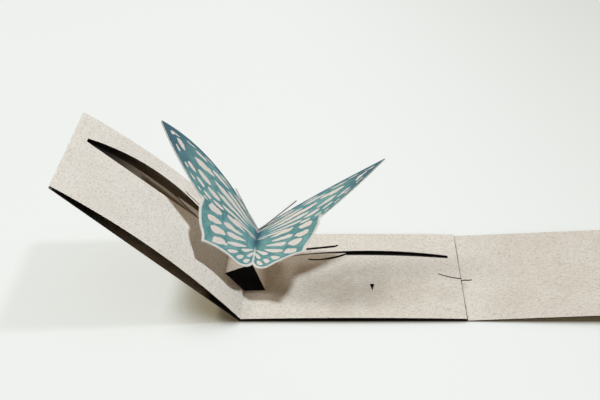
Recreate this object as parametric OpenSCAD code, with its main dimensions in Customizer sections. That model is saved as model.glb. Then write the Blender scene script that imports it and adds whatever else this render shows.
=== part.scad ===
// Pop-up business card: a long strip of grey card folded in layers, a small strip that
// lifts through a window at the spine, and a butterfly folded from printed card on top.

/* [Card] */
// Width of one panel, from fold to fold
panel_w = 85; // [70:1:110]
// Depth of the card, from its front edge to its back edge
card_d = 55; // [50:1:80]
// Thickness of the grey card
card_t = 0.35; // [0.2:0.05:0.5]
// Strip of the lower layer that shows at the end of the upper layer
seam_w = 1.2; // [0.5:0.1:4]

/* [Opening] */
// Angle at which the left panel stands up from the table
left_rise = 43.2; // [25:0.1:60]
// Height by which the inner layer of the left panel bows off its cover
left_bow = 3.2; // [1.5:0.1:6]
// Height by which the inner layer of the middle panel bows off its cover
mid_bow = 0.5; // [0.2:0.1:2]
// Angle at which the plain end panel lifts off the table
cover_lift = 2.7; // [0.5:0.1:5]

/* [Window] */
// Distance from the front edge of the card to the window
window_front = 17.2; // [10:0.1:20]
// Depth of the window, from front to back
window_d = 20; // [14:1:24]
// Width of the window on the left panel, from the spine
window_left = 11.1; // [9:0.1:12]
// Width of the window on the middle panel, from the spine
window_right = 8.6; // [7.5:0.1:11]

/* [Lift strip] */
// Length of the left leg of the lift strip, from its foot to the ridge
left_leg = 11.6; // [10:0.1:15]
// Length of the right leg of the lift strip, from its foot to the ridge
right_leg = 13.2; // [11:0.1:16]
// Width of the glued flap at each foot
flap_w = 6; // [3:0.5:9]
// Thickness of the lift strip
strip_t = 0.3; // [0.2:0.05:0.4]
// Room between the lift strip and the edges of the window
strip_clear = 0.5; // [0.4:0.1:1]
// Room that the glue takes between two glued sheets
glue_gap = 0.05; // [0.05:0.01:0.1]

/* [Wing slots] */
// Distance from the spine to the inner end of a wing slot
slot_root = 14; // [12.5:0.5:20]
// Distance from the outer end of a wing slot to the outer fold
slot_end = 5.2; // [3:0.1:20]
// Width of the left slot's blunt outer end
left_slot_blunt = 2.4; // [0.5:0.1:3]
// Width of the right slot's blunt outer end
right_slot_blunt = 1.2; // [0.5:0.1:2]
// Distance from the front edge of the card to the ends of the left slot
left_slot_line = 38.3; // [36:0.1:40]
// Distance from the front edge of the card to the ends of the right slot
right_slot_line = 39; // [36:0.1:40]
// Bulge of the back edge of the left slot
left_slot_back = 7.1; // [5:0.1:8]
// Bulge of the front edge of the left slot, negative towards the front
left_slot_front = -3.3; // [-5:0.1:1]
// Bulge of the back edge of the right slot
right_slot_back = 3.4; // [2.8:0.1:6]
// Bulge of the front edge of the right slot
right_slot_front = 1.5; // [-2:0.1:2]
// Distance from the spine to the tip of the tongue in a wing slot
tongue_tip = 39.3; // [32:0.1:44]
// Space between the tongue and the back edge of the left slot
left_tongue_gap = 5.6; // [0.3:0.1:6]
// Space between the tongue and the back edge of the right slot
right_tongue_gap = 0.9; // [0.3:0.1:2]
// Bulge of the left tongue towards the front
left_tongue_belly = 2.3; // [1.5:0.1:3]
// Bulge of the right tongue towards the front
right_tongue_belly = 3.1; // [1.5:0.1:3.5]
// Length of the hollow in front of the right tongue
hollow_len = 14.8; // [10:0.1:18]
// Distance by which the hollow's inner end lies in front of the slot
hollow_drop = 1.7; // [1:0.1:3]
// Depth of the hollow
hollow_bow = 1.5; // [0.8:0.1:2]

/* [Fine slits] */
// Width of a fine slit
slit_w = 0.45; // [0.3:0.05:0.8]
// Width of the antenna slit on the middle panel, which stands open
open_slit_w = 0.9; // [0.5:0.05:1.2]
// Distance from the spine to the inner end of an antenna slit
feeler_slit_root = 23.4; // [20:0.1:30]
// Length of an antenna slit
feeler_slit_len = 11.6; // [8:0.1:14]
// Distance from the front edge of the card to the inner end of an antenna slit
feeler_slit_line = 44.3; // [44:0.1:48]
// Slope of an antenna slit
feeler_slit_slope = 9; // [0:1:12]
// Length of the hook at the end of an antenna slit
feeler_hook = 1.4; // [0.8:0.1:2]
// Length of the closing slit on the inner layer, back from its end
lock_in = 8.4; // [5:0.1:12]
// Length of the closing slit on the end panel, measured past the fold
lock_out = 3.2; // [1.5:0.1:6]
// Distance from the front edge of the card to the closing slit at the fold
lock_line = 24.6; // [15:0.1:28]
// Distance by which the inner end of the closing slit turns to the back
lock_rise = 3; // [1:0.1:5]
// Bulge of the closing slit towards the front
lock_sag = 1.1; // [0.5:0.1:2]
// Width at which the closing slit gapes beside the fold
lock_gape = 0.9; // [0.5:0.1:1.5]
// Distance from the spine to the small nick in the middle panel
nick_at = 49.2; // [40:0.1:60]
// Distance from the front edge of the card to the nick's wide end
nick_line = 20.8; // [15:0.1:30]
// Width of the nick
nick_w = 1.7; // [0.8:0.1:3]
// Length of the nick
nick_len = 4.5; // [2:0.1:7]

/* [Butterfly] */
// Thickness of the printed card
wing_t = 0.25; // [0.15:0.05:0.4]
// Length of the body crease
body_len = 18.7; // [14:0.1:20]
// Reach of a forewing tip, out from the body crease
wing_reach = 55; // [45:0.1:60]
// Place of a forewing tip, along the body crease
wing_sweep = 32.8; // [28:0.1:38]
// Bulge of the forewing's leading edge
wing_bow = 3.9; // [2:0.1:5]
// Reach of the notch between forewing and hindwing
notch_reach = 28.2; // [26:0.1:32]
// Place of the notch along the body crease
notch_sweep = 12.9; // [11:0.1:16]
// Reach of the tooth at the hindwing's lower corner
tooth_reach = 22.7; // [18:0.1:25]
// Distance by which the tooth hangs below the tail
tooth_drop = 4.2; // [1:0.1:5]
// Distance from the tooth up to the waist of the hindwing's margin
tooth_len = 3; // [2:0.1:4]
// Width by which the waist stands out past the tooth
waist_out = 0.7; // [0.2:0.1:2]
// Distance from the notch down to the hindwing's shoulder
shoulder_len = 3.4; // [2:0.1:5]
// Reach of the hindwing's belly, its lowest place beside the tail
belly_reach = 7; // [5:0.1:10]
// Distance by which the belly hangs below the tail
belly_drop = 4.9; // [2:0.1:6]
// Bulge of the edge from the tail to the belly
belly_bow = 1.3; // [0.5:0.1:1.8]
// Hollow of the hem from the belly to the tooth
hem_hollow = 1; // [0:0.1:2]
// Bulge of the margin from the waist to the shoulder
margin_bow = 0.6; // [0:0.1:1]
// Bulge of the forewing's outer margin
outer_bow = 0.7; // [0:0.1:2]
// Width of the forewing's blunt tip
tip_w = 0.6; // [0.4:0.1:1]
// Angle at which the body crease climbs from tail to head
body_pitch = 10; // [5:0.5:30]
// Angle at which the body crease turns to the right
body_turn = 3.3; // [0:0.1:15]
// Angle at which the left wing rises
left_wing_rise = 51.2; // [30:0.1:65]
// Angle at which the right wing rises
right_wing_rise = 23.1; // [15:0.1:50]
// Height of the left wing's curl at its tip, negative when it falls back
left_curl = -11; // [-14:0.1:6]
// Height of the left wing's twist at its tip
left_twist = 9.8; // [-6:0.1:12]
// Height of the right wing's curl at its tip
right_curl = 8.2; // [-6:0.1:12]
// Height of the right wing's twist at its tip, negative when it falls
right_twist = -3.8; // [-8:0.1:6]
// Distance from the front end of the body crease to the root of the antennae
head_len = 1; // [0.8:0.1:3]
// Width of an antenna
feeler_w = 0.5; // [0.4:0.05:0.8]
// Reach of an antenna, out from the body crease
feeler_reach = 18.4; // [10:0.1:20]
// Place of the antenna's tip, along the body crease
feeler_sweep = 24.2; // [20:0.1:28]
// Angle between an antenna and its wing
feeler_lift = 12; // [10:1:25]
// Length of the glued saddle under the tail
saddle_len = 5; // [3:0.5:9]
// Width of the glued saddle on each leg of the lift strip
saddle_half = 3; // [2:0.1:5]

/* [Hidden] */

bow_steps = 40;
turn_steps = 8;
arc_steps = 14;
edge_steps = 8;
corner_steps = 3;

card_color = [0.85, 0.83, 0.79];
strip_color = [0.87, 0.85, 0.81];
wing_color = [0.41, 0.65, 0.65];

// The flaps of the lift strip lie between the layers and hold them apart
layer_gap = strip_t + 2 * glue_gap;
layer_step = card_t + layer_gap;
base_mid_z = card_t / 2;
left_out = [-cos(left_rise), sin(left_rise)];
left_up = [sin(left_rise), cos(left_rise)];

// Spine of the inner layer, and the chords of its two bowed panels
spine = [layer_step * tan(left_rise / 2), base_mid_z + layer_step];
left_chord = panel_w - layer_step * tan(left_rise / 2);
mid_chord = panel_w - seam_w - spine[0];
slot_tip = panel_w - slot_end;
cut_floor = -(card_t + layer_gap) / 2;
cut_room = 2;

// Feet and ridge of the lift strip
left_foot_at = window_left - strip_clear;
right_foot_at = window_right - strip_clear;
flap_drop = (card_t + strip_t) / 2 + glue_gap;
left_foot = left_under(left_foot_at);
right_foot = right_under(right_foot_at);
foot_span = norm(right_foot - left_foot);
foot_dir = (right_foot - left_foot) / foot_span;
ridge_at = (left_leg * left_leg - right_leg * right_leg + foot_span * foot_span) / (2 * foot_span);
ridge_rise = sqrt(left_leg * left_leg - ridge_at * ridge_at);
ridge = left_foot + foot_dir * ridge_at + [-foot_dir[1], foot_dir[0]] * ridge_rise;
strip_front = window_front + strip_clear;
strip_d = window_d - 2 * strip_clear;

// Tail of the butterfly, on the saddle that is glued over the ridge
saddle_step = (strip_t + wing_t) / 2 + glue_gap;
tail = side_point([left_foot, ridge, right_foot], 1, saddle_step);
saddle_overlap = 0.3;

// Lower edge of a wing, from the tail out to the tip
tail_len = 0.4;
shoulder_in = 0.05;
tail_end = [0, -tail_len];
belly = [belly_reach, -belly_drop];
tooth = [tooth_reach, -tooth_drop];
waist = tooth + [waist_out, tooth_len];
notch = [notch_reach, notch_sweep];
shoulder = notch - [shoulder_in, shoulder_len];
tip_low = [wing_reach, wing_sweep - tip_w];
wing_edge = concat(
    arc_points(tail_end, belly, -belly_bow, edge_steps),
    arc_points(belly, tooth, hem_hollow, edge_steps),
    arc_points(tooth, waist, 0, corner_steps),
    arc_points(waist, shoulder, -margin_bow, edge_steps),
    arc_points(shoulder, notch, 0, corner_steps),
    arc_points(notch, tip_low, -outer_bow, 2 * edge_steps),
    [tip_low]
);
wing_rows = 4;
wing_last = len(wing_edge) - 1;
twist_axis = 8;

// Normals of the two wings at the crease, and the mitre between them
left_face = [sin(left_wing_rise), cos(left_wing_rise)];
right_face = [-sin(right_wing_rise), cos(right_wing_rise)];
crease_mitre = (left_face + right_face) / (1 + left_face * right_face);

// Height of a shallow arc over its chord, at a distance from the chord's end
function bow_at(s, chord, bow) = 4 * bow * s * (chord - s) / (chord * chord);

// Points given along a panel's chord and up from it, as points of the card's section
function left_point(s, h) = spine + s * left_out + h * left_up;
function right_point(s, h) = spine + [s, h];

// Points of the lift strip, glued under the two panels
function left_under(s) = left_point(s, bow_at(s, left_chord, left_bow) - flap_drop);
function right_under(s) = right_point(s, bow_at(s, mid_chord, mid_bow) - flap_drop);

// Points along a shallow arc from one point to another, bulging to the left of the way
function arc_points(from, to, bulge, steps = arc_steps) =
    let (way = to - from, chord = norm(way), dir = way / chord, side = [-dir[1], dir[0]])
    [for (i = [0 : steps - 1])
        let (s = chord * i / steps)
        from + dir * s + side * bow_at(s, chord, bulge)];

// Normal to the left of the way from one point to the next
function left_normal(p, q) = [p[1] - q[1], q[0] - p[0]] / norm(q - p);

// A path's point moved sideways, mitred between the two runs that meet there
function side_point(path, i, step) =
    let (last = len(path) - 1,
         before = left_normal(path[max(i, 1) - 1], path[max(i, 1)]),
         after = left_normal(path[min(i, last - 1)], path[min(i, last - 1) + 1]))
    path[i] + step * (before + after) / (1 + before * after);

// A folded sheet seen from its edge, along the path of its middle
module sheet_path(path, thick) {
    last = len(path) - 1;
    polygon(concat(
        [for (i = [0 : last]) side_point(path, i, thick / 2)],
        [for (i = [last : -1 : 0]) side_point(path, i, -thick / 2)]
    ));
}

// Outline between two arcs over one chord along X, pointed or with a blunt far end
module crescent(chord, upper, lower, blunt = 0) {
    polygon(concat(
        arc_points([0, 0], [chord, blunt / 2], upper),
        blunt > 0 ? [[chord, blunt / 2]] : [],
        arc_points([chord, -blunt / 2], [0, 0], -lower)
    ));
}

// The card's section stands in XZ: this gives it its depth along Y
module through_depth(front, depth) {
    translate([0, front + depth, 0])
        rotate([90, 0, 0])
            linear_extrude(depth)
                children();
}

// Cuts drawn flat, from the spine outwards, set on the middle or the left panel
module on_mid_panel() {
    translate([spine[0], 0, spine[1] + cut_floor])
        linear_extrude(mid_bow + card_t + cut_room)
            children();
}

module on_left_panel() {
    translate([spine[0], 0, spine[1]])
        rotate([0, left_rise, 0])
            mirror([1, 0, 0])
                translate([0, 0, cut_floor])
                    linear_extrude(left_bow + card_t + cut_room)
                        children();
}

// The origin is the middle of the panel that lies on the table
module in_place() {
    translate([-panel_w / 2, -card_d / 2, 0])
        children();
}

// Crescent slot with a pointed tongue left standing in it, and a hollow in front of the tongue
module wing_slot(line, back, front, blunt, tongue_gap, tongue_belly, hollow = 0) {
    slot_len = slot_tip - slot_root;
    tongue_at = tongue_tip - slot_root;
    tip_y = bow_at(tongue_at, slot_len, back) - tongue_gap;
    root_back = 2;
    tongue_way = [tongue_at + root_back, tip_y];
    tongue_len = norm(tongue_way);
    hollow_root = [tongue_at - hollow_len, -hollow_drop];
    hollow_way = [tongue_at, bow_at(tongue_at, slot_len, front)] - hollow_root;
    translate([slot_root, line])
        difference() {
            union() {
                crescent(slot_len, back, front, blunt);
                if (hollow > 0)
                    translate(hollow_root)
                        rotate(atan2(hollow_way[1], hollow_way[0]))
                            crescent(norm(hollow_way), hollow, -hollow);
            }
            translate([-root_back, 0])
                rotate(atan2(tongue_way[1], tongue_way[0]))
                    crescent(tongue_len, back * pow(tongue_len / slot_len, 2), -tongue_belly);
        }
}

// Fine slit with a small hook at its outer end
module feeler_slit(width) {
    start = [feeler_slit_root, feeler_slit_line];
    bend = start + feeler_slit_len * [cos(feeler_slit_slope), sin(feeler_slit_slope)];
    hook_turn = 40;
    hook = bend + feeler_hook * [cos(hook_turn), sin(hook_turn)];
    sheet_path([start, bend, hook], width);
}

// Curved closing slit across the fold beside the end panel
module lock_slit() {
    inner = [mid_chord - lock_in, lock_line + lock_rise];
    outer = [mid_chord + seam_w + lock_out, lock_line];
    way = outer - inner;
    translate(inner)
        rotate(atan2(way[1], way[0]))
            crescent(norm(way), -lock_sag + slit_w / 2, -lock_sag - slit_w / 2);
    translate([mid_chord + seam_w, lock_line])
        polygon([[0, lock_gape / 2], [0, -lock_gape / 2], [lock_out - slit_w, 0]]);
}

// Small three-cornered nick in the middle panel
module nick() {
    translate([nick_at, nick_line])
        polygon([[-nick_w / 2, 0], [nick_w / 2, 0], [0, -nick_len]]);
}

// Window beside the spine, on one panel
module window_cut(width) {
    translate([0, window_front])
        square([width, window_d]);
}

// Path of the whole folded strip, as one sheet from the end panel to the seam
function strip_points() =
    let (fold = [panel_w, base_mid_z],
         corner = [0, base_mid_z],
         free_fold = corner + panel_w * left_out,
         turn_centre = free_fold + left_up * layer_step / 2)
    concat(
        [fold + panel_w * [cos(cover_lift), sin(cover_lift)], fold, corner],
        [for (i = [0 : turn_steps])
            let (a = 180 * i / turn_steps)
            turn_centre + layer_step / 2 * (sin(a) * left_out - cos(a) * left_up)],
        [for (i = [1 : bow_steps])
            let (s = left_chord * (1 - i / bow_steps))
            left_point(s, bow_at(s, left_chord, left_bow))],
        [for (i = [1 : bow_steps])
            let (s = mid_chord * i / bow_steps)
            right_point(s, bow_at(s, mid_chord, mid_bow))]
    );

module card_strip() {
    color(card_color)
        in_place()
            difference() {
                through_depth(0, card_d)
                    sheet_path(strip_points(), card_t);
                on_mid_panel() {
                    window_cut(window_right);
                    wing_slot(right_slot_line, right_slot_back, right_slot_front, right_slot_blunt,
                              right_tongue_gap, right_tongue_belly, hollow_bow);
                    feeler_slit(open_slit_w);
                    nick();
                    intersection() {
                        lock_slit();
                        square([mid_chord + seam_w / 2, card_d]);
                    }
                }
                on_left_panel() {
                    window_cut(window_left);
                    wing_slot(left_slot_line, left_slot_back, left_slot_front, left_slot_blunt,
                              left_tongue_gap, left_tongue_belly);
                    feeler_slit(slit_w);
                }
                through_depth(window_front, window_d)
                    translate(spine)
                        circle(d = layer_step, $fn = turn_steps);
                // The closing slit goes on through the end panel
                translate([spine[0], 0, -card_t])
                    linear_extrude(panel_w * sin(cover_lift) + card_t + cut_room)
                        intersection() {
                            lock_slit();
                            translate([mid_chord + seam_w, 0])
                                square([panel_w, card_d]);
                        }
            }
}

module lift_strip() {
    color(strip_color)
        in_place()
            through_depth(strip_front, strip_d)
                sheet_path([
                    left_under(window_left + flap_w),
                    left_foot,
                    ridge,
                    right_foot,
                    right_under(window_right + flap_w)
                ], strip_t);
}

// Leading edge of a forewing, at a distance out from the body crease
function wing_top(u) = body_len + (wing_sweep - body_len) * u / wing_reach + bow_at(u, wing_reach, wing_bow);

// Height of a wing's curl and twist over its plane
function wing_height(u, v, curl, twist) =
    curl * pow(u / wing_reach, 2)
    + twist * u / wing_reach * (v - twist_axis) / (wing_sweep - twist_axis);

// Points of the printed sheet: columns out from the crease, left ones negative, and rows along it
function wing_point(column, row, lift) =
    let (edge = wing_edge[abs(column)],
         u = edge[0],
         v = edge[1] + (wing_top(u) - edge[1]) * row / wing_rows,
         left = column < 0,
         rise = left ? left_wing_rise : right_wing_rise,
         height = left ? wing_height(u, v, left_curl, left_twist) : wing_height(u, v, right_curl, right_twist),
         w = height + lift,
         x = u * cos(rise) - w * sin(rise))
    column == 0
        ? [crease_mitre[0] * lift, v, crease_mitre[1] * lift]
        : [left ? -x : x, v, u * sin(rise) + w * cos(rise)];

function sheet_index(column, row) = (column + wing_last) * (wing_rows + 1) + row;

// Two triangles over four corners, seen clockwise from outside
function quad(a, b, c, d) = [[a, b, c], [a, c, d]];

// Both wings as one thin sheet, folded along the body
module wings() {
    under = (2 * wing_last + 1) * (wing_rows + 1);
    faces = [for (column = [-wing_last : wing_last - 1])
        let (next = column + 1)
        concat(
            [for (row = [0 : wing_rows - 1])
                let (a = sheet_index(column, row),
                     b = sheet_index(next, row),
                     c = sheet_index(next, row + 1),
                     d = sheet_index(column, row + 1))
                each concat(quad(a, d, c, b), quad(a + under, b + under, c + under, d + under))],
            let (a = sheet_index(column, 0), b = sheet_index(next, 0))
                quad(a, b, b + under, a + under),
            let (a = sheet_index(column, wing_rows), b = sheet_index(next, wing_rows))
                quad(b, a, a + under, b + under)
        )];
    tips = [for (row = [0 : wing_rows - 1])
        let (a = sheet_index(wing_last, row),
             b = sheet_index(wing_last, row + 1),
             c = sheet_index(-wing_last, row),
             d = sheet_index(-wing_last, row + 1))
        concat(quad(a, b, b + under, a + under), quad(d, c, c + under, d + under))];
    polyhedron(
        [for (lift = [wing_t / 2, -wing_t / 2])
            for (column = [-wing_last : wing_last])
                for (row = [0 : wing_rows])
                    wing_point(column, row, lift)],
        [for (list = concat(faces, tips)) each list]
    );
}

// Antenna, a fine strip from the head, held a little above its wing
module feeler(rise) {
    rotate([0, -rise - feeler_lift, 0])
        translate([0, 0, -wing_t / 2])
            linear_extrude(wing_t)
                sheet_path([[0, body_len - head_len], [feeler_reach, feeler_sweep]], feeler_w);
}

module butterfly() {
    color(wing_color)
        in_place() {
            translate([tail[0], strip_front, tail[1]])
                rotate([0, 0, -body_turn])
                    rotate([body_pitch, 0, 0]) {
                        wings();
                        feeler(right_wing_rise);
                        mirror([1, 0, 0])
                            feeler(left_wing_rise);
                    }
            through_depth(strip_front - saddle_overlap, saddle_len)
                sheet_path([
                    tail + saddle_half * (left_foot - ridge) / left_leg,
                    tail,
                    tail + saddle_half * (right_foot - ridge) / right_leg
                ], wing_t);
        }
}

card_strip();
lift_strip();
butterfly();
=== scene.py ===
import math

import bpy
import numpy as np
from mathutils import Matrix, Vector


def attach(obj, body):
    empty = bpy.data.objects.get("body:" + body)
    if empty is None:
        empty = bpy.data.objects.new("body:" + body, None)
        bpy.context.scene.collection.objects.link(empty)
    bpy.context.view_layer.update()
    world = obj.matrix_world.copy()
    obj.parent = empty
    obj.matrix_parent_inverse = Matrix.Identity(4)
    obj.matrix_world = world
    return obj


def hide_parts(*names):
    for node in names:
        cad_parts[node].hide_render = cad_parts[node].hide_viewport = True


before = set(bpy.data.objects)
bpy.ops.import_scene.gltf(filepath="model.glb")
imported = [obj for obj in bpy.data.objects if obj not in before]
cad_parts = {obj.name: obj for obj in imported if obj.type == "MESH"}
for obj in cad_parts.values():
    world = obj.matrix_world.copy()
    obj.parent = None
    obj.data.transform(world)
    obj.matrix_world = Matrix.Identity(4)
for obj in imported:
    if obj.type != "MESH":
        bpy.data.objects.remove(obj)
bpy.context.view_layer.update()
print("frame loaded:", ", ".join(sorted(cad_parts)))

mm = 0.001
scene = bpy.context.scene
scene.view_settings.view_transform = "Standard"


# node helpers: each returns the output socket of the node that it adds
class NodeSketch:
    def __init__(self, tree):
        self.tree = tree

    def add(self, kind, settings=None, inputs=None, output=0):
        node = self.tree.nodes.new(kind)
        for name, value in (settings or {}).items():
            setattr(node, name, value)
        for name, value in (inputs or {}).items():
            self.feed(node.inputs[name], value)
        return node.outputs[output]

    def feed(self, socket, value):
        if isinstance(value, bpy.types.NodeSocket):
            self.tree.links.new(value, socket)
        else:
            socket.default_value = value

    def math(self, operation, first, second=0.0, third=0.0):
        return self.add("ShaderNodeMath", {"operation": operation}, {0: first, 1: second, 2: third})

    def vector(self, operation, first, second=(0.0, 0.0, 0.0), output="Vector"):
        return self.add("ShaderNodeVectorMath", {"operation": operation}, {0: first, 1: second}, output)

    def part(self, vector, axis):
        return self.add("ShaderNodeSeparateXYZ", None, {0: vector}, axis)

    def grey(self, value):
        return self.add("ShaderNodeCombineColor", None, {0: value, 1: value, 2: value})

    def ramp(self, value, low, high, start=0.0, end=1.0):
        limits = {"Value": value, "From Min": low, "From Max": high, "To Min": start, "To Max": end}
        return self.add("ShaderNodeMapRange", {"interpolation_type": "SMOOTHSTEP"}, limits)

    def mix(self, factor, first, second, blend="MIX"):
        settings = {"data_type": "RGBA", "blend_type": blend}
        return self.add("ShaderNodeMix", settings, {0: factor, 6: first, 7: second}, 2)

    def noise(self, vector, scale, detail=2.0, roughness=0.5):
        inputs = {"Vector": vector, "Scale": scale, "Detail": detail, "Roughness": roughness}
        return self.add("ShaderNodeTexNoise", {"noise_dimensions": "3D"}, inputs)

    # values are scale per millimetre, detail, roughness, then the limits of the ramp
    def layer(self, vector, values):
        return self.ramp(self.noise(vector, *values[:3]), *values[3:])

    def attribute(self, name):
        return self.add("ShaderNodeAttribute", {"attribute_name": name}, None, "Fac")

    def millimetres(self, turn=(0.0, 0.0, 0.0), stretch=(1.0, 1.0, 1.0)):
        place = self.add("ShaderNodeTexCoord", None, None, "Object")
        scale = [part / mm for part in stretch]
        turned = self.add("ShaderNodeMapping", None, {"Vector": place, "Rotation": turn})
        return self.add("ShaderNodeMapping", None, {"Vector": turned, "Scale": scale})


def startMaterial(name):
    material = bpy.data.materials.new(name)
    material.use_nodes = True
    sketch = NodeSketch(material.node_tree)
    return material, sketch, material.node_tree.nodes["Principled BSDF"]


def dressShader(sketch, shader, colour, height, finish):
    relief = {"Height": height, "Strength": finish["bumpStrength"], "Distance": finish["bumpHeight"]}
    sketch.feed(shader.inputs["Base Color"], colour)
    sketch.feed(shader.inputs["Normal"], sketch.add("ShaderNodeBump", None, relief))
    shader.inputs["Roughness"].default_value = finish["roughness"]
    shader.inputs["Specular IOR Level"].default_value = finish["gloss"]


# recycled card: broad mottling, fine grain, a few short fibres and specks, and painted shade on the faces
# between the layers
cardFinish = {
    "tone": (0.597, 0.566, 0.495, 1.0),
    "paleTone": (0.750, 0.728, 0.664, 1.0),
    "grainTone": (0.360, 0.322, 0.270, 1.0),
    "fibreTone": (0.330, 0.280, 0.228, 1.0),
    "speckTone": (0.200, 0.165, 0.125, 1.0),
    # painted shade for the faces between the layers, and painted warm light on them below the slot
    "insideShadeTone": (0.007, 0.005, 0.005, 1.0),
    "slotLightTone": (0.230, 0.180, 0.125, 1.0),
    # painted shade on cut edges that face forwards or backwards
    "cutEdgeShadeTone": (0.040, 0.031, 0.024, 1.0),
    # painted shade beside the slits
    "slitShadeTone": (0.020, 0.015, 0.012, 1.0),
    # noise layers, and how far each carries the tone towards the pale one
    "broad": (0.06, 3.0, 0.5, 0.32, 0.68),
    "mottle": (0.45, 3.0, 0.6, 0.30, 0.70),
    "grain": (1.25, 3.0, 0.65, 0.28, 0.74),
    "streak": (1.40, 3.0, 0.6, 0.30, 0.70),
    "broadShare": 0.22,
    "mottleShare": 0.18,
    "grainShare": 0.32,
    "streakShare": 0.62,
    "streakStretch": (0.42, 1.5, 1.5),
    "paleStart": -0.13,
    # places along the strip in millimetres: painted light on the standing panel, painted shade on the end
    # panel, and a painted soft shadow on the middle one
    "litPanelRange": (-40.0, -62.0),
    "litPanelShare": 0.55,
    "endShadeRange": (43.0, 62.0),
    "endShadeShare": 0.30,
    "shadowPatchAt": (5.0, -9.5, 0.0),
    "shadowPatchSize": (46.0, 20.0, 60.0),
    "shadowPatchNoise": (0.09, 4.0, 0.6),
    "shadowPatchFray": 1.1,
    "shadowPatchRange": (1.55, 0.60),
    "shadowPatchShare": 1.0,
    "grainDark": (0.30, 0.02, 0.0, 0.45),
    "fibre": (0.60, 1.5, 0.5, 0.70, 0.76),
    "fibreTurns": (12.0, 71.0, 133.0),
    "fibreStretch": (0.55, 3.4, 3.4),
    "fibreShare": 0.50,
    "fibreRelief": 0.6,
    "speckScale": 0.42,
    "speckSize": (0.15, 0.08),
    "speckChance": (0.84, 0.90),
    "speckShare": 0.65,
    # painted shade: how far a face must turn forwards or backwards to count as a cut edge
    "cutEdgeShadeFacing": (0.25, 0.45),
    # painted shade beside the slits: which faces get it, and how soft its sides and ends are
    "slitShadeFacing": (0.2, 0.5),
    "slitShadeSoft": 0.16,
    "slitShadeEnd": 0.2,
    "roughness": 0.92,
    "gloss": 0.18,
    "bumpStrength": 0.55,
    "bumpHeight": 0.05 * mm,
}

# the small lift strip has a whiter tone than the card strip, which in part is painted light on the tent's
# legs
paleFinish = dict(
    cardFinish,
    tone=(0.840, 0.815, 0.750, 1.0),
    paleTone=(0.910, 0.890, 0.835, 1.0),
    litPanelShare=0.0,
    endShadeShare=0.0,
    shadowPatchShare=0.0,
)

# lines in the card's section, as x and z in millimetres, and the height of a panel's face that gets painted
# shade
insideShadeLines = {
    "middlePanel": {"start": (-42.5, 0.175), "end": (41.58, 0.175), "lead": -0.6, "fray": 0.6},
    "leftPanel": {"start": (-104.46, 58.36), "end": (-42.09, -0.21), "lead": 0.8, "fray": 0.0},
    # the legs of the tent, whose undersides get painted shade
    "leftLeg": {"start": (-49.23, 8.93), "end": (-38.44, 13.19)},
    "rightLeg": {"start": (-38.44, 13.19), "end": (-34.10, 0.73)},
    "faceHeight": 0.175,
    "faceRange": (0.098, 0.070),
    "frayNoise": (0.11, 2.0),
    "endSoft": 0.1,
    "legRange": (-0.08, -0.11),
    # where along the standing panel the painted warm light rises and falls
    "slotLightRise": (12.0, 44.0),
    "slotLightFall": (72.0, 66.0),
}

# painted shade: dark margins beside the slits of the middle panel, in millimetres: each follows a parabola
# over a chord
slitShadeBands = [
    {"start": (-19.1, 16.8), "run": 11.5, "rise": 1.8, "bow": 0.0, "from": 0.0, "half": 0.72},
    {"start": (-28.5, 11.5), "run": 65.8, "rise": 0.6, "bow": 3.4, "from": 0.0, "half": 0.30},
    {"start": (-28.5, 11.5), "run": 65.8, "rise": -0.6, "bow": 1.5, "from": 25.3, "half": 0.34},
    {"start": (-18.0, 9.8), "run": 14.8, "rise": 3.1, "bow": -1.5, "from": 0.0, "half": 0.50},
    {"start": (32.9, 0.1), "run": 12.8, "rise": -3.0, "bow": -1.1, "from": 0.0, "half": 0.34},
]


# distance along a line in the section, and height to the left of it
def sectionGauge(sketch, place, line):
    (startX, startZ), (endX, endZ) = line["start"], line["end"]
    length = math.hypot(endX - startX, endZ - startZ)
    wayX, wayZ = (endX - startX) / length, (endZ - startZ) / length
    gauges = []
    for axis in ((wayX, 0.0, wayZ), (-wayZ, 0.0, wayX)):
        offset = startX * axis[0] + startZ * axis[2]
        dot = sketch.vector("DOT_PRODUCT", place, axis, "Value")
        gauges.append(sketch.math("SUBTRACT", dot, offset))
    return gauges[0], gauges[1], length


# 1 on the face that lies beside a line, between the line's two ends
def faceMask(sketch, place, line, insideShade):
    along, height, length = sectionGauge(sketch, place, line)
    apart = sketch.math("ABSOLUTE", sketch.math("SUBTRACT", height, insideShade["faceHeight"]))
    near = sketch.ramp(apart, *insideShade["faceRange"])
    frayed = sketch.math("MULTIPLY_ADD", sketch.noise(place, *insideShade["frayNoise"]), line["fray"], along)
    soft = insideShade["endSoft"]
    end = length + line["fray"] / 2.0
    started = sketch.ramp(along, line["lead"], line["lead"] + soft)
    ended = sketch.ramp(frayed, end + soft, end - soft)
    within = sketch.math("MULTIPLY", started, ended)
    return sketch.math("MULTIPLY", near, within), along


# painted shade on the faces between the strip's layers, and painted warm light on the part of them below the
# slot
def stripInsideShade(sketch, place, insideShade):
    middle, _ = faceMask(sketch, place, insideShade["middlePanel"], insideShade)
    left, along = faceMask(sketch, place, insideShade["leftPanel"], insideShade)
    rise = sketch.ramp(along, *insideShade["slotLightRise"])
    fall = sketch.ramp(along, *insideShade["slotLightFall"])
    return sketch.math("MAXIMUM", middle, left), sketch.math("MULTIPLY", rise, fall)


# painted shade on the underside of both legs of the tent
def tentInsideShade(sketch, place, insideShade):
    heights = [sectionGauge(sketch, place, insideShade[leg])[1] for leg in ("leftLeg", "rightLeg")]
    under = sketch.math("MAXIMUM", *heights)
    return sketch.ramp(under, *insideShade["legRange"]), 0.0
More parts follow.
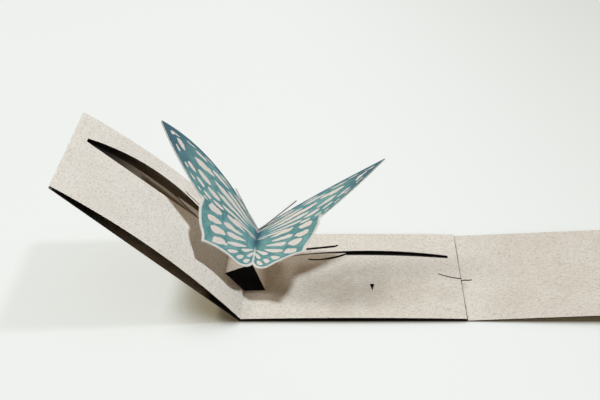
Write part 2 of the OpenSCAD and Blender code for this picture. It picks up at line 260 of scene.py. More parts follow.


# painted shade, 1 beside a slit, on upward faces: distance in y from the parabola, between two places along
# its chord
def slitShadeMask(sketch, place, normal, shadeBands, finish):
    acrossX = sketch.part(place, 0)
    acrossY = sketch.part(place, 1)
    soft, end = finish["slitShadeSoft"], finish["slitShadeEnd"]
    mask = 0.0
    for shadeBand in shadeBands:
        along = sketch.math("SUBTRACT", acrossX, shadeBand["start"][0])
        share = sketch.math("DIVIDE", along, shadeBand["run"])
        bulge = sketch.math("MULTIPLY", share, sketch.math("SUBTRACT", 1.0, share))
        line = sketch.math("MULTIPLY_ADD", bulge, 4.0 * shadeBand["bow"], shadeBand["start"][1])
        line = sketch.math("MULTIPLY_ADD", share, shadeBand["rise"], line)
        apart = sketch.math("ABSOLUTE", sketch.math("SUBTRACT", acrossY, line))
        near = sketch.ramp(apart, shadeBand["half"] + soft, shadeBand["half"] - soft)
        started = sketch.ramp(along, shadeBand["from"] - end, shadeBand["from"] + end)
        ended = sketch.ramp(along, shadeBand["run"] + end, shadeBand["run"] - end)
        within = sketch.math("MULTIPLY", started, ended)
        mask = sketch.math("MAXIMUM", sketch.math("MULTIPLY", near, within), mask)
    upward = sketch.ramp(sketch.part(normal, 2), *finish["slitShadeFacing"])
    return sketch.math("MULTIPLY", mask, upward)


# card material: tone from the noise layers with painted light and shade along the strip, then grain, fibres,
# specks, and painted shade on cut edges, beside the slits and on inner faces
def recycledCard(name, finish, seed, insideShadeMask, shadeBands):
    material, sketch, shader = startMaterial(name)
    flat = sketch.millimetres()
    place = sketch.vector("ADD", flat, (seed, 2.0 * seed, 3.0 * seed))
    streaked = sketch.millimetres((0.0, 0.0, 0.0), finish["streakStretch"])
    layers = {word: sketch.layer(place, finish[word]) for word in ("broad", "mottle", "grain")}
    layers["streak"] = sketch.layer(streaked, finish["streak"])
    pale = finish["paleStart"]
    for word, layer in layers.items():
        pale = sketch.math("MULTIPLY_ADD", layer, finish[word + "Share"], pale)

    # painted light on the standing panel, painted shade on the end panel, and a painted soft shadow on the
    # middle panel
    alongStrip = sketch.part(flat, 0)
    litPanel = sketch.ramp(alongStrip, *finish["litPanelRange"], 0.0, finish["litPanelShare"])
    endShade = sketch.ramp(alongStrip, *finish["endShadeRange"], 0.0, finish["endShadeShare"])
    fromShadowPatch = sketch.vector("SUBTRACT", flat, finish["shadowPatchAt"])
    fromShadowPatch = sketch.vector("DIVIDE", fromShadowPatch, finish["shadowPatchSize"])
    shadowPatchReach = sketch.vector("LENGTH", fromShadowPatch, output="Value")
    shadowPatchNoise = sketch.noise(place, *finish["shadowPatchNoise"])
    shadowPatchReach = sketch.math("MULTIPLY_ADD", shadowPatchNoise, finish["shadowPatchFray"], shadowPatchReach)
    shadowPatch = sketch.ramp(shadowPatchReach, *finish["shadowPatchRange"], 0.0, finish["shadowPatchShare"])
    pale = sketch.math("ADD", pale, litPanel)
    pale = sketch.math("SUBTRACT", pale, endShade)
    pale = sketch.math("SUBTRACT", pale, shadowPatch)
    tones = {0: pale, 6: finish["tone"], 7: finish["paleTone"]}
    colour = sketch.add("ShaderNodeMix", {"data_type": "RGBA", "clamp_factor": False}, tones, 2)
    grainDark = sketch.ramp(layers["grain"], *finish["grainDark"])
    colour = sketch.mix(grainDark, colour, finish["grainTone"])

    fibres = 0.0
    for turn in finish["fibreTurns"]:
        strands = sketch.millimetres((0.0, 0.0, math.radians(turn)), finish["fibreStretch"])
        fibres = sketch.math("MAXIMUM", sketch.layer(strands, finish["fibre"]), fibres)
    colour = sketch.mix(sketch.math("MULTIPLY", fibres, finish["fibreShare"]), colour, finish["fibreTone"])

    speckNode = sketch.tree.nodes.new("ShaderNodeTexVoronoi")
    sketch.feed(speckNode.inputs["Vector"], place)
    speckNode.inputs["Scale"].default_value = finish["speckScale"]
    chance = sketch.add("ShaderNodeSeparateColor", None, {0: speckNode.outputs["Color"]})
    rare = sketch.ramp(chance, *finish["speckChance"])
    speck = sketch.math("MULTIPLY", sketch.ramp(speckNode.outputs["Distance"], *finish["speckSize"]), rare)
    colour = sketch.mix(sketch.math("MULTIPLY", speck, finish["speckShare"]), colour, finish["speckTone"])

    # painted shade: cut edges that face forwards or backwards get a near-black tone
    normal = sketch.add("ShaderNodeNewGeometry", None, None, "True Normal")
    cutEdgeShade = sketch.ramp(sketch.math("ABSOLUTE", sketch.part(normal, 1)), *finish["cutEdgeShadeFacing"])
    colour = sketch.mix(cutEdgeShade, colour, finish["cutEdgeShadeTone"])
    # painted shade beside the slits
    if shadeBands:
        colour = sketch.mix(slitShadeMask(sketch, flat, normal, shadeBands, finish), colour, finish["slitShadeTone"])

    # painted shade on the faces between the layers, with painted warm light below the slot
    insideShade, slotLight = insideShadeMask(sketch, flat, insideShadeLines)
    insideShadeColour = sketch.mix(slotLight, finish["insideShadeTone"], finish["slotLightTone"])
    colour = sketch.mix(insideShade, colour, insideShadeColour)
    height = sketch.math("MULTIPLY_ADD", fibres, finish["fibreRelief"], layers["grain"])
    dressShader(sketch, shader, colour, height, finish)
    return material


greyCard = recycledCard("greyCard", cardFinish, 0.0, stripInsideShade, slitShadeBands)
stripCard = recycledCard("stripCard", paleFinish, 17.0, tentInsideShade, [])
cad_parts["card_strip"].data.materials[0] = greyCard
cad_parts["lift_strip"].data.materials[0] = stripCard
print("card materials set")


# printed butterfly: sizes in millimetres, turns in degrees
butterfly = {
    "sheet": 0.25,
    "bodyLength": 18.7,
    "tipReach": 55.0,
    "tipSweep": 32.8,
    "tipWidth": 0.6,
    "leadingBow": 3.9,
    "notch": (28.2, 12.9),
    "shoulder": (28.15, 9.5),
    "waist": (23.4, -1.2),
    "tooth": (22.7, -4.2),
    "belly": (7.0, -4.9),
    "tailEnd": (0.0, -0.4),
    "edgeCorners": ("tailEnd", "belly", "tooth", "waist", "shoulder", "notch"),
    "edgeBows": (-1.3, 1.0, 0.0, -0.6, 0.0, -0.7),
    "arcPoints": 60,
    "twistAxis": 8.0,
    "leftWing": {"rise": 51.2, "curl": -11.0, "twist": 9.8},
    "rightWing": {"rise": 23.1, "curl": 8.2, "twist": -3.8},
    "pitch": 10.0,
    "turn": 3.3,
    "tailAboveRidge": (0.105, 0.230),
    "columns": 200,
    "rows": 56,
    "foreFan": (-6.0, 13.2),
    "foreTurns": (-2.0, 33.0),
    "hindFan": (-3.0, 10.0),
    "hindTurns": (-72.0, 6.0),
    "splitBow": 1.3,
    "splitDrop": 1.5,
}


# a closed sheet from two grids of points, the upper one seen from above with columns to the right
def closedSheet(name, upper, under, materials, place):
    columnCount, rowCount = upper.shape[:2]
    index = np.arange(columnCount * rowCount).reshape(columnCount, rowCount)
    below = index + columnCount * rowCount

    def quads(first, second, third, fourth):
        return np.stack([first, second, third, fourth], -1).reshape(-1, 4)

    top = quads(index[:-1, :-1], index[1:, :-1], index[1:, 1:], index[:-1, 1:])
    bottom = quads(below[:-1, :-1], below[:-1, 1:], below[1:, 1:], below[1:, :-1])
    rim = np.concatenate([
        quads(index[:-1, 0], below[:-1, 0], below[1:, 0], index[1:, 0]),
        quads(index[1:, -1], below[1:, -1], below[:-1, -1], index[:-1, -1]),
        quads(index[0, 1:], below[0, 1:], below[0, :-1], index[0, :-1]),
        quads(index[-1, :-1], below[-1, :-1], below[-1, 1:], index[-1, 1:]),
    ])
    points = np.concatenate([upper.reshape(-1, 3), under.reshape(-1, 3)]) @ place[:, :3].T + place[:, 3]
    mesh = bpy.data.meshes.new(name)
    mesh.from_pydata((points * mm).tolist(), [], np.concatenate([top, bottom, rim]).tolist())
    for material in materials:
        mesh.materials.append(material)
    counts = (len(top), len(bottom), len(rim))
    mesh.polygons.foreach_set("material_index", np.repeat((0, 1, 2), counts).astype(np.int32))
    mesh.polygons.foreach_set("use_smooth", np.repeat((True, True, False), counts))
    mesh.update()
    piece = bpy.data.objects.new(name, mesh)
    scene.collection.objects.link(piece)
    return piece


# parabola over a chord, bulging to the left of the way, as points from one end to the other
def shallowArc(start, end, bow, count):
    start, end = np.array(start), np.array(end)
    way = end - start
    share = np.linspace(0.0, 1.0, count)[:, None]
    side = np.array([-way[1], way[0]]) / np.linalg.norm(way)
    return start + way * share + side * 4.0 * bow * share * (1.0 - share)


# lower edge of a wing from tail to tip, at even steps along its length
def wingEdge(shape):
    tipLow = (shape["tipReach"], shape["tipSweep"] - shape["tipWidth"])
    corners = [shape[corner] for corner in shape["edgeCorners"]] + [tipLow]
    ends = zip(corners, corners[1:], shape["edgeBows"])
    arcs = [shallowArc(start, end, bow, shape["arcPoints"]) for start, end, bow in ends]
    edge = np.concatenate([arcs[0]] + [arc[1:] for arc in arcs[1:]])
    length = np.concatenate([[0.0], np.cumsum(np.hypot(*np.diff(edge, axis=0).T))])
    even = np.linspace(0.0, length[-1], shape["columns"] + 1)
    return np.stack([np.interp(even, length, edge[:, axis]) for axis in (0, 1)], 1)


# leading edge of a forewing: a straight line with a parabola over it
def leadingEdge(shape, reach):
    share = reach / shape["tipReach"]
    straight = shape["bodyLength"] + (shape["tipSweep"] - shape["bodyLength"]) * share
    return straight + 4.0 * shape["leadingBow"] * share * (1.0 - share)


# flat layout of one wing: columns go out from the crease, rows go up from the lower edge
def wingLayout(shape):
    edge = wingEdge(shape)
    rows = np.linspace(0.0, 1.0, shape["rows"] + 1)
    top = leadingEdge(shape, edge[:, 0])
    reach = np.repeat(edge[:, :1], len(rows), 1)
    sweep = edge[:, 1:] + (top - edge[:, 1])[:, None] * rows
    return reach, sweep, edge


# one wing in space: the flat layout, raised by a square-law curl and a linear twist, then turned up
def wingPoints(shape, wing, reach, sweep, lift):
    share = reach / shape["tipReach"]
    lever = (sweep - shape["twistAxis"]) / (shape["tipSweep"] - shape["twistAxis"])
    height = wing["curl"] * share ** 2 + wing["twist"] * share * lever + lift
    rise = math.radians(wing["rise"])
    out = reach * math.cos(rise) - height * math.sin(rise)
    return np.stack([out, sweep, reach * math.sin(rise) + height * math.cos(rise)], -1)


# both wings side by side, left one mirrored, sharing the crease column at its mitre
def wingSheet(shape, reach, sweep, lift):
    left = wingPoints(shape, shape["leftWing"], reach, sweep, lift) * (-1.0, 1.0, 1.0)
    right = wingPoints(shape, shape["rightWing"], reach, sweep, lift)
    leftRise, rightRise = (math.radians(shape[side]["rise"]) for side in ("leftWing", "rightWing"))
    leftFace = np.array([math.sin(leftRise), math.cos(leftRise)])
    rightFace = np.array([-math.sin(rightRise), math.cos(rightRise)])
    mitre = (leftFace + rightFace) / (1.0 + leftFace @ rightFace) * lift
    crease = np.stack([np.full_like(sweep[0], mitre[0]), sweep[0], np.full_like(sweep[0], mitre[1])], -1)
    return np.concatenate([left[:0:-1], crease[None], right[1:]])


# polar map about a fan point: sector 0 to 1 across the turns, and reach as a share of the way to the rim
def fanMap(points, rim, centre, turns):
    offset = points - centre
    angle = np.degrees(np.arctan2(offset[..., 1], offset[..., 0]))
    rimOffset = rim - centre
    rimAngle = np.degrees(np.arctan2(rimOffset[:, 1], rimOffset[:, 0]))
    order = np.argsort(rimAngle)
    rimReach = np.interp(angle, rimAngle[order], np.hypot(*rimOffset.T)[order])
    return (angle - turns[0]) / (turns[1] - turns[0]), np.hypot(offset[..., 0], offset[..., 1]) / rimReach


# numbers that the print follows, one value for each point of the flat layout
def printFields(shape, reach, sweep, edge):
    flat = np.stack([reach, sweep], -1)
    costa = np.stack([edge[:, 0], leadingEdge(shape, edge[:, 0])], 1)
    notchColumn = int(np.argmin(np.hypot(*(edge - shape["notch"]).T)))
    foreRim = np.concatenate([edge[notchColumn:], costa[::-1]])
    hindRim = edge[: notchColumn + 1]
    foreSector, foreReach = fanMap(flat, foreRim, shape["foreFan"], shape["foreTurns"])
    hindSector, hindReach = fanMap(flat, hindRim, shape["hindFan"], shape["hindTurns"])
    gaps = flat.reshape(-1, 1, 2) - edge[None]
    edgeGap = np.hypot(gaps[..., 0], gaps[..., 1]).min(1).reshape(reach.shape)
    # the hindwing ends at a bowed line from the notch to the body
    notchReach, notchSweep = shape["notch"]
    share = np.clip(reach / notchReach, 0.0, 1.0)
    splitLine = notchSweep + shape["splitBow"] * np.sin(math.pi * share) - shape["splitDrop"] * (1.0 - share)
    return {
        "foreSector": foreSector, "foreReach": foreReach,
        "hindSector": hindSector, "hindReach": hindReach,
        "edgeGap": edgeGap, "costaGap": leadingEdge(shape, reach) - sweep,
        "wingSplit": sweep - splitLine, "spanOut": reach, "bodyAlong": sweep,
    }


# print colours, and rows of cells: how many lie across the fan, where along it, how wide and how uneven
printFinish = {
    "teal": (0.112, 0.310, 0.322, 1.0),
    "paleTeal": (0.205, 0.430, 0.425, 1.0),
    "greenTeal": (0.165, 0.370, 0.320, 1.0),
    "deepBlue": (0.034, 0.100, 0.152, 1.0),
    "cream": (0.800, 0.745, 0.690, 1.0),
    "bare": (0.800, 0.780, 0.740, 1.0),
    "core": (0.800, 0.785, 0.750, 1.0),
    "rowWords": ("cells", "phase", "from", "to", "width", "taper", "scatter", "seed"),
    "foreRows": [
        (6.0, 0.15, 0.22, 0.57, 0.62, 0.50, 0.10, 3.0),
        (7.0, 0.45, 0.62, 0.745, 0.66, 0.20, 0.06, 11.0),
        (8.0, 0.10, 0.79, 0.855, 0.58, 0.0, 0.04, 23.0),
        (11.0, 0.30, 0.893, 0.925, 0.50, 0.0, 0.01, 31.0),
    ],
    "hindRows": [
        (6.0, 0.20, 0.28, 0.60, 0.60, 0.55, 0.10, 41.0),
        (7.0, 0.55, 0.66, 0.865, 0.66, 0.25, 0.06, 53.0),
    ],
    "cellLean": 0.20,
    "cellSpread": (0.35, 0.80),
    "acrossPower": 2.2,
    "alongPower": 2.4,
    "cellRange": (1.15, 0.85),
    "rimRange": (2.2, 1.2),
    "rimShare": 0.26,
    "veinRange": (0.455, 0.490),
    "veinFade": (0.95, 0.70),
    "veinShare": 0.42,
    # noise, and how far it moves each part of the print
    "wanderNoise": (0.35, 2.0),
    "sectorWander": 0.06,
    "reachWander": 0.05,
    "tipWander": 16.0,
    "borderWander": 0.4,
    "fineNoise": (3.0, 3.0, 0.6),
    "wash": (0.16, 4.0, 0.6, 0.36, 0.66),
    "green": (0.24, 3.0, 0.6, 0.48, 0.66, 0.0, 0.75),
    "blots": (0.30, 4.0, 0.65, 0.50, 0.72, 0.0, 0.55),
    # ranges in millimetres, some with the share at each end
    "splitRange": (-0.08, 0.08),
    "tipRange": (24.0, 52.0, 0.0, 0.88),
    "costaRange": (1.7, 0.4, 0.0, 0.80),
    "seamRange": (0.45, 0.15, 0.0, 0.60),
    "bodySpan": (3.4, 0.6),
    "bodyRange": (5.0, 11.0, 0.0, 0.85),
    "creaseSpan": (0.55, 0.35),
    "creaseRange": (9.0, 6.0),
    "foreStart": (27.0, 31.0),
    "hindBorder": 0.95,
    "foreBorder": 0.32,
    "borderSoft": (0.16, -0.16),
    "toothRange": (0.3, 0.7, 0.84, 1.05),
    "roughness": 0.62,
    "gloss": 0.3,
    "bumpStrength": 0.35,
    "bumpHeight": 0.03 * mm,
}


# a row of drop-shaped cells, narrower towards the fan point: distance 1 on the rim of each ellipse
def cellRow(sketch, sector, reach, row, finish):
    place = sketch.math("MULTIPLY_ADD", sector, row["cells"], row["phase"])
    number = sketch.math("ADD", sketch.math("FLOOR", place), row["seed"])
    chance = sketch.add("ShaderNodeTexWhiteNoise", {"noise_dimensions": "1D"}, {"W": number})
    uneven = sketch.math("SUBTRACT", chance, 0.5)
    moved = sketch.math("MULTIPLY_ADD", uneven, row["scatter"], reach)
    middle = (row["from"] + row["to"]) / 2.0
    halfLength = (row["to"] - row["from"]) / 2.0
    along = sketch.math("DIVIDE", sketch.math("SUBTRACT", moved, middle), halfLength)
    centre = sketch.math("MULTIPLY_ADD", uneven, finish["cellLean"], 0.5)
    across = sketch.math("ABSOLUTE", sketch.math("SUBTRACT", sketch.math("FRACT", place), centre))
    spread = sketch.math("MULTIPLY_ADD", chance, *finish["cellSpread"])
    spread = sketch.math("MULTIPLY_ADD", along, row["taper"] / 2.0, spread)
    across = sketch.math("DIVIDE", across, sketch.math("MULTIPLY", spread, row["width"] / 2.0))
    acrossPart = sketch.math("POWER", across, finish["acrossPower"])
    alongPart = sketch.math("POWER", sketch.math("ABSOLUTE", along), finish["alongPower"])
    return sketch.math("ADD", acrossPart, alongPart)


# thin lines between the sectors, fading towards the rim of the wing
def veins(sketch, sector, reach, row, finish):
    place = sketch.math("MULTIPLY_ADD", sector, row["cells"], row["phase"])
    across = sketch.math("ABSOLUTE", sketch.math("SUBTRACT", sketch.math("FRACT", place), 0.5))
    fade = sketch.ramp(reach, *finish["veinFade"])
    return sketch.math("MULTIPLY", sketch.ramp(across, *finish["veinRange"]), fade)


# print material: teal wash, darker places over it, then the cells, the bare border and a fine tooth
def printedWings(name, finish, words):
    material, sketch, shader = startMaterial(name)
    place = sketch.millimetres()
    wander = sketch.math("SUBTRACT", sketch.noise(place, *finish["wanderNoise"]), 0.5)
    fine = sketch.noise(place, *finish["fineNoise"])
    fields = {word: sketch.attribute(word) for word in words}
    isFore = sketch.ramp(fields["wingSplit"], *finish["splitRange"])
    isHind = sketch.math("SUBTRACT", 1.0, isFore)

    cell, rim, lines = 0.0, 0.0, 0.0
    for wing, share in (("fore", isFore), ("hind", isHind)):
        sector = sketch.math("MULTIPLY_ADD", wander, finish["sectorWander"], fields[wing + "Sector"])
        reach = sketch.math("MULTIPLY_ADD", wander, finish["reachWander"], fields[wing + "Reach"])
        rows = [dict(zip(finish["rowWords"], values)) for values in finish[wing + "Rows"]]
        for row in rows:
            distance = cellRow(sketch, sector, reach, row, finish)
            within = sketch.math("MULTIPLY", sketch.ramp(distance, *finish["cellRange"]), share)
            around = sketch.math("MULTIPLY", sketch.ramp(distance, *finish["rimRange"]), share)
            cell = sketch.math("MAXIMUM", within, cell)
            rim = sketch.math("MAXIMUM", around, rim)
        vein = sketch.math("MULTIPLY", veins(sketch, sector, reach, rows[0], finish), share)
        lines = sketch.math("MAXIMUM", vein, lines)

    towardTip = sketch.math("MULTIPLY_ADD", wander, finish["tipWander"], fields["spanOut"])
    seam = sketch.math("ABSOLUTE", fields["wingSplit"])
    besideBody = sketch.ramp(fields["spanOut"], *finish["bodySpan"])
    darkPlaces = [
        sketch.math("MULTIPLY", lines, finish["veinShare"]),
        sketch.layer(place, finish["blots"]),
        sketch.ramp(towardTip, *finish["tipRange"]),
        sketch.ramp(fields["costaGap"], *finish["costaRange"]),
        sketch.ramp(seam, *finish["seamRange"]),
        sketch.math("MULTIPLY", besideBody, sketch.ramp(fields["bodyAlong"], *finish["bodyRange"])),
    ]
    dark = sketch.math("MULTIPLY", rim, finish["rimShare"])
    for darkPlace in darkPlaces:
        dark = sketch.math("MAXIMUM", darkPlace, dark)
    colour = sketch.mix(sketch.layer(place, finish["wash"]), finish["teal"], finish["paleTeal"])
    colour = sketch.mix(sketch.layer(place, finish["green"]), colour, finish["greenTeal"])
    colour = sketch.mix(dark, colour, finish["deepBlue"])
    colour = sketch.mix(cell, colour, finish["cream"])

    # the border is narrower on the forewing, and the crease is bare near the tail
    onFore = sketch.ramp(fields["spanOut"], *finish["foreStart"])
    width = sketch.ramp(onFore, 0.0, 1.0, finish["hindBorder"], finish["foreBorder"])
    edgeGap = sketch.math("MULTIPLY_ADD", wander, finish["borderWander"], fields["edgeGap"])
    border = sketch.ramp(sketch.math("SUBTRACT", edgeGap, width), *finish["borderSoft"])
    nearTail = sketch.ramp(fields["bodyAlong"], *finish["creaseRange"])
    crease = sketch.math("MULTIPLY", sketch.ramp(fields["spanOut"], *finish["creaseSpan"]), nearTail)
    colour = sketch.mix(sketch.math("MAXIMUM", border, crease), colour, finish["bare"])
    tooth = sketch.ramp(fine, *finish["toothRange"])
    colour = sketch.mix(1.0, colour, sketch.grey(tooth), "MULTIPLY")
    dressShader(sketch, shader, colour, fine, finish)
    return material


# bare side and cut edge of the printed card: one tone with a fine tooth and faint clouds
bareFinish = {
    "fineNoise": (2.4, 3.0, 0.6),
    "toothRange": (0.3, 0.7, 0.90, 1.0),
    "cloud": (0.2, 3.0, 0.5, 0.3, 0.7, -0.05, 0.05),
    "roughness": 0.85,
    "gloss": 0.2,
    "bumpStrength": 0.35,
    "bumpHeight": 0.03 * mm,
}


def barePaper(name, tone, finish):
    material, sketch, shader = startMaterial(name)
    place = sketch.millimetres()
    fine = sketch.noise(place, *finish["fineNoise"])
    tooth = sketch.ramp(fine, *finish["toothRange"])
    shade = sketch.math("ADD", tooth, sketch.layer(place, finish["cloud"]))
    colour = sketch.mix(1.0, tone, sketch.grey(shade), "MULTIPLY")
    dressShader(sketch, shader, colour, fine, finish)
    return material


# the tail sits on the ridge of the lift strip, at its front edge
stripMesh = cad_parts["lift_strip"].data
stripPoints = np.empty(len(stripMesh.vertices) * 3, np.float32)
stripMesh.vertices.foreach_get("co", stripPoints)
stripPoints = stripPoints.reshape(-1, 3) / mm
stripMiddle = (stripPoints[:, 0].min() + stripPoints[:, 0].max()) / 2.0
rightHalf = stripPoints[stripPoints[:, 0] > stripMiddle]
ridgePoint = rightHalf[np.argmax(rightHalf[:, 2])]
tailPoint = np.array([
    ridgePoint[0] + butterfly["tailAboveRidge"][0],
    stripPoints[:, 1].min(),
    ridgePoint[2] + butterfly["tailAboveRidge"][1],
])
turnRound = Matrix.Rotation(math.radians(-butterfly["turn"]), 3, "Z")
pitchUp = Matrix.Rotation(math.radians(butterfly["pitch"]), 3, "X")
onTail = np.column_stack([np.array(turnRound @ pitchUp), tailPoint])
inPlace = np.column_stack([np.eye(3), np.zeros(3)])
print("tail of the butterfly at", np.round(tailPoint, 3))

reach, sweep, edge = wingLayout(butterfly)
fields = printFields(butterfly, reach, sweep, edge)
wingPrint = printedWings("wingPrint", printFinish, list(fields))
wingBack = barePaper("wingBack", printFinish["bare"], bareFinish)
wingCore = barePaper("wingCore", printFinish["core"], bareFinish)
halfSheet = butterfly["sheet"] / 2.0
wingSides = [wingSheet(butterfly, reach, sweep, lift) for lift in (halfSheet, -halfSheet)]
wings = closedSheet("wings", *wingSides, [wingPrint, wingBack, wingCore], onTail)
for word, values in fields.items():
    bothWings = np.concatenate([values[:0:-1], values])
    bothSides = np.tile(bothWings.ravel(), 2).astype(np.float32)
    wings.data.attributes.new(word, "FLOAT", "POINT").data.foreach_set("value", bothSides)
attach(wings, "root")
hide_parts("butterfly")
print("wings made:", len(wings.data.polygons), "faces")


# antennae: thin strips from the head, on planes turned a little above the wings
feeler = {
    "width": 0.5,
    "start": (0.0, 17.7),
    "tip": (18.4, 24.2),
    "lift": 12.0,
    "leftTone": (0.700, 0.690, 0.650, 1.0),
    "rightTone": (0.060, 0.050, 0.042, 1.0),
    "stations": 40,
}


# a straight strip of even width, laid flat and turned up about the body, mirrored for the left side
def feelerSheet(shape, rise, side, lift):
    start, tip = np.array(shape["start"]), np.array(shape["tip"])
    way = tip - start
    across = np.array([-way[1], way[0]]) / np.linalg.norm(way) * shape["width"] / 2.0
    share = np.linspace(0.0, 1.0, shape["stations"])[:, None, None]
    flat = start + way * share + across * np.array([-1.0, 0.0, 1.0])[None, :, None]
    turn = math.radians(rise + shape["lift"])
    out = flat[..., 0] * math.cos(turn) - lift * math.sin(turn)
    points = np.stack([out * side, flat[..., 1], flat[..., 0] * math.sin(turn) + lift * math.cos(turn)], -1)
    return points if side > 0 else points[::-1]


for sideName, side in (("left", -1.0), ("right", 1.0)):
    rise = butterfly[sideName + "Wing"]["rise"]
    feelerPrint = barePaper(sideName + "FeelerPrint", feeler[sideName + "Tone"], bareFinish)
    feelerSides = [feelerSheet(feeler, rise, side, lift) for lift in (halfSheet, -halfSheet)]
    piece = closedSheet(sideName + "Feeler", *feelerSides, [feelerPrint, wingBack, wingCore], onTail)
    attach(piece, "root")
print("antennae made")


# saddle: a small folded tab of the same card, glued over the ridge
saddle = {
    "arm": 3.0,
    "length": 5.0,
    "ahead": 0.3,
    "leftFall": 21.56,
    "rightFall": 70.82,
    "stations": 6,
}


# a section of two straight arms that fall from a mitred fold, carried straight back along the ridge
def saddleSheet(shape, step):
    left, right = math.radians(shape["leftFall"]), math.radians(shape["rightFall"])
    leftFace = np.array([-math.sin(left), math.cos(left)])
    rightFace = np.array([math.sin(right), math.cos(right)])
    leftEnd = -shape["arm"] * np.array([math.cos(left), math.sin(left)]) + leftFace * step
    rightEnd = shape["arm"] * np.array([math.cos(right), -math.sin(right)]) + rightFace * step
    fold = (leftFace + rightFace) / (1.0 + leftFace @ rightFace) * step
    section = np.stack([leftEnd, leftEnd / 2.0 + fold / 2.0, fold, fold / 2.0 + rightEnd / 2.0, rightEnd])
    depth = np.linspace(-shape["ahead"], shape["length"] - shape["ahead"], shape["stations"])
    grid = np.empty((len(section), len(depth), 3))
    grid[..., 0] = section[:, :1] + tailPoint[0]
    grid[..., 1] = depth + tailPoint[1]
    grid[..., 2] = section[:, 1:] + tailPoint[2]
    return grid


saddleSides = [saddleSheet(saddle, step) for step in (halfSheet, -halfSheet)]
saddlePiece = closedSheet("saddle", *saddleSides, [wingBack, wingBack, wingCore], inPlace)
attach(saddlePiece, "root")
print("saddle made")


# studio: pale floor, small key lamp high on the right, softer lamp on the left, weak warm fill
studio = {
    "floorHalf": 6.0,
    "floorDrop": 0.05 * mm,
    "floorTone": (0.80, 0.80, 0.79, 1.0),
    "backTone": (0.885, 0.920, 0.890, 1.0),
    "backShare": 0.80,
    # painted shade on the floor's glow: a dim side, then wide, near and contact shadow tones
    "dimTone": (0.640, 0.660, 0.620, 1.0),
    "dimWay": (1.0, 0.25, 0.0),
    "dimRange": (0.00, 0.32),
    "wideTone": (0.800, 0.820, 0.770, 1.0),
    "wideReach": 75.0 * mm,
    "wideRange": (0.45, 0.95),
    "shadeTone": (0.250, 0.215, 0.130, 1.0),
    "shadeReach": 21.0 * mm,
    "shadeRange": (0.44, 0.97),
    "contactTone": (0.075, 0.058, 0.030, 1.0),
    "contactReach": 7.0 * mm,
    "contactRange": (0.54, 0.96),
    "shadeSamples": 12,
    "fillTone": (1.0, 0.52, 0.15, 1.0),
    "fillPower": 0.225,
    "fillFrom": (0.0, 0.80, 0.60),
    "fillRange": (-0.6, 0.9),
    "fillLeast": 0.35,
}
lampWords = ("turn", "rise", "distance", "size", "power", "tone")
lamps = {
    "key": (80.0, 69.0, 1.2, 0.13, 11.3, (0.86, 0.93, 1.0)),
    "left": (-78.0, 46.0, 1.2, 0.30, 4.4, (0.96, 0.95, 0.92)),  # clears the standing panel
}


# light path share that is 1 for rays that see the background directly, in gloss or through glass
def seenShare(sketch):
    rays = sketch.tree.nodes.new("ShaderNodeLightPath")
    seen = sketch.math("MAXIMUM", rays.outputs["Is Camera Ray"], rays.outputs["Is Glossy Ray"])
    return sketch.math("MAXIMUM", seen, rays.outputs["Is Transmission Ray"])


half, drop = studio["floorHalf"], -studio["floorDrop"]
floorCorners = [(-half, -half, drop), (half, -half, drop), (half, half, drop), (-half, half, drop)]
floorMesh = bpy.data.meshes.new("floor")
floorMesh.from_pydata(floorCorners, [], [(0, 1, 2, 3)])
floor = bpy.data.objects.new("floor", floorMesh)
scene.collection.objects.link(floor)
floorMaterial, floorSketch, floorShader = startMaterial("paleFloor")
floorShader.inputs["Base Color"].default_value = studio["floorTone"]
floorShader.inputs["Roughness"].default_value = 1.0
floorShader.inputs["Specular IOR Level"].default_value = 0.0
# painted shade: the floor's own white dims to one side, and a painted shadow darkens it where the card lies
# close above it
floorPlace = floorSketch.add("ShaderNodeTexCoord", None, None, "Object")
away = floorSketch.vector("DOT_PRODUCT", floorPlace, studio["dimWay"], "Value")
dimmed = floorSketch.ramp(away, *studio["dimRange"])
glowTone = floorSketch.mix(dimmed, studio["backTone"], studio["dimTone"])
for shade in ("wide", "shade", "contact"):
    openSky = floorSketch.add("ShaderNodeAmbientOcclusion", {"samples": studio["shadeSamples"]},
                              {"Distance": studio[shade + "Reach"]}, "AO")
    openSky = floorSketch.ramp(openSky, *studio[shade + "Range"])
    glowTone = floorSketch.mix(openSky, studio[shade + "Tone"], glowTone)
backGlow = floorSketch.add("ShaderNodeEmission", None, {"Color": glowTone, "Strength": 1.0})
glowShare = floorSketch.math("MULTIPLY", seenShare(floorSketch), studio["backShare"])
floorSides = {0: glowShare, 1: floorShader.outputs[0], 2: backGlow}
floorMix = floorSketch.add("ShaderNodeMixShader", None, floorSides)
floorSketch.tree.links.new(floorMix, floorSketch.tree.nodes["Material Output"].inputs["Surface"])
floorMesh.materials.append(floorMaterial)

# fill: weak from the front and full from the back
world = bpy.data.worlds.new("studioWorld")
world.use_nodes = True
scene.world = world
worldSketch = NodeSketch(world.node_tree)
fill = world.node_tree.nodes["Background"]
fill.inputs["Color"].default_value = studio["fillTone"]
towards = worldSketch.add("ShaderNodeTexCoord", None, None, "Generated")
backward = worldSketch.vector("DOT_PRODUCT", towards, studio["fillFrom"], "Value")
weakest = studio["fillLeast"] * studio["fillPower"]
strength = worldSketch.ramp(backward, *studio["fillRange"], weakest, studio["fillPower"])
worldSketch.feed(fill.inputs["Strength"], strength)
surround = worldSketch.add("ShaderNodeBackground", None, {"Color": studio["backTone"], "Strength": 1.0})
worldSides = {0: seenShare(worldSketch), 1: fill.outputs[0], 2: surround}
worldMix = worldSketch.add("ShaderNodeMixShader", None, worldSides)
world.node_tree.links.new(worldMix, world.node_tree.nodes["World Output"].inputs["Surface"])

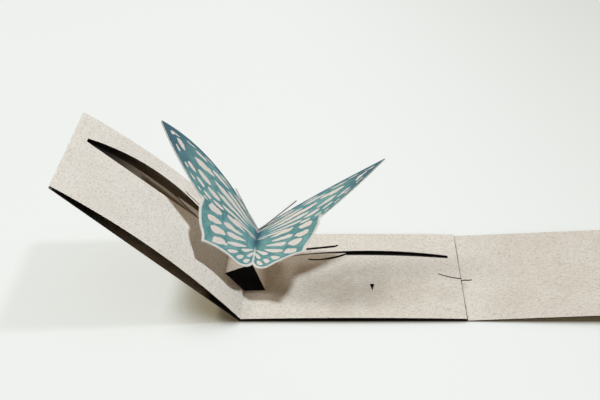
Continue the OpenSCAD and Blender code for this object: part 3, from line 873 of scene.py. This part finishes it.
for lampName, values in lamps.items():
    setting = dict(zip(lampWords, values))
    lampTurn, lampRise = math.radians(setting["turn"]), math.radians(setting["rise"])
    level = Vector((math.sin(lampTurn), math.cos(lampTurn), 0.0)) * math.cos(lampRise)
    toLamp = level + Vector((0.0, 0.0, math.sin(lampRise)))
    lampData = bpy.data.lights.new(lampName + "Lamp", "AREA")
    lampData.shape = "DISK"
    lampData.size = setting["size"]
    lampData.energy = setting["power"]
    lampData.color = setting["tone"]
    lamp = bpy.data.objects.new(lampName + "Lamp", lampData)
    lamp.location = toLamp * setting["distance"]
    lamp.rotation_euler = toLamp.to_track_quat("Z", "Y").to_euler()
    scene.collection.objects.link(lamp)
print("floor and light set")


# camera fitted to the card's corners in the 600 by 400 picture, turns in degrees
photoCamera = {
    "pictureWidth": 600,
    "focalPixels": 1019.0,
    "sensor": 36.0,
    "nearest": 0.01,
    "elevation": 32.16,
    "yaw": -3.12,
    "roll": -2.01,
    "distance": 381.2 * mm,
    "target": (-20.0 * mm, 0.0, 35.7 * mm),
}
elevation, yaw, roll = (math.radians(photoCamera[turn]) for turn in ("elevation", "yaw", "roll"))
forward = Vector((
    math.sin(yaw) * math.cos(elevation),
    math.cos(yaw) * math.cos(elevation),
    -math.sin(elevation),
))
level = Vector((math.cos(yaw), -math.sin(yaw), 0.0))
upward = level.cross(forward)
right = math.cos(roll) * level + math.sin(roll) * upward
above = -math.sin(roll) * level + math.cos(roll) * upward
cameraData = bpy.data.cameras.new("photoCamera")
cameraData.sensor_fit = "HORIZONTAL"
cameraData.sensor_width = photoCamera["sensor"]
cameraData.lens = photoCamera["sensor"] * photoCamera["focalPixels"] / photoCamera["pictureWidth"]
cameraData.clip_start = photoCamera["nearest"]
camera = bpy.data.objects.new("photoCamera", cameraData)
turned = Matrix((right, above, -forward)).transposed().to_4x4()
eye = Vector(photoCamera["target"]) - forward * photoCamera["distance"]
camera.matrix_world = Matrix.Translation(eye) @ turned
scene.collection.objects.link(camera)
scene.camera = camera
print("camera set, lens", round(cameraData.lens, 2))
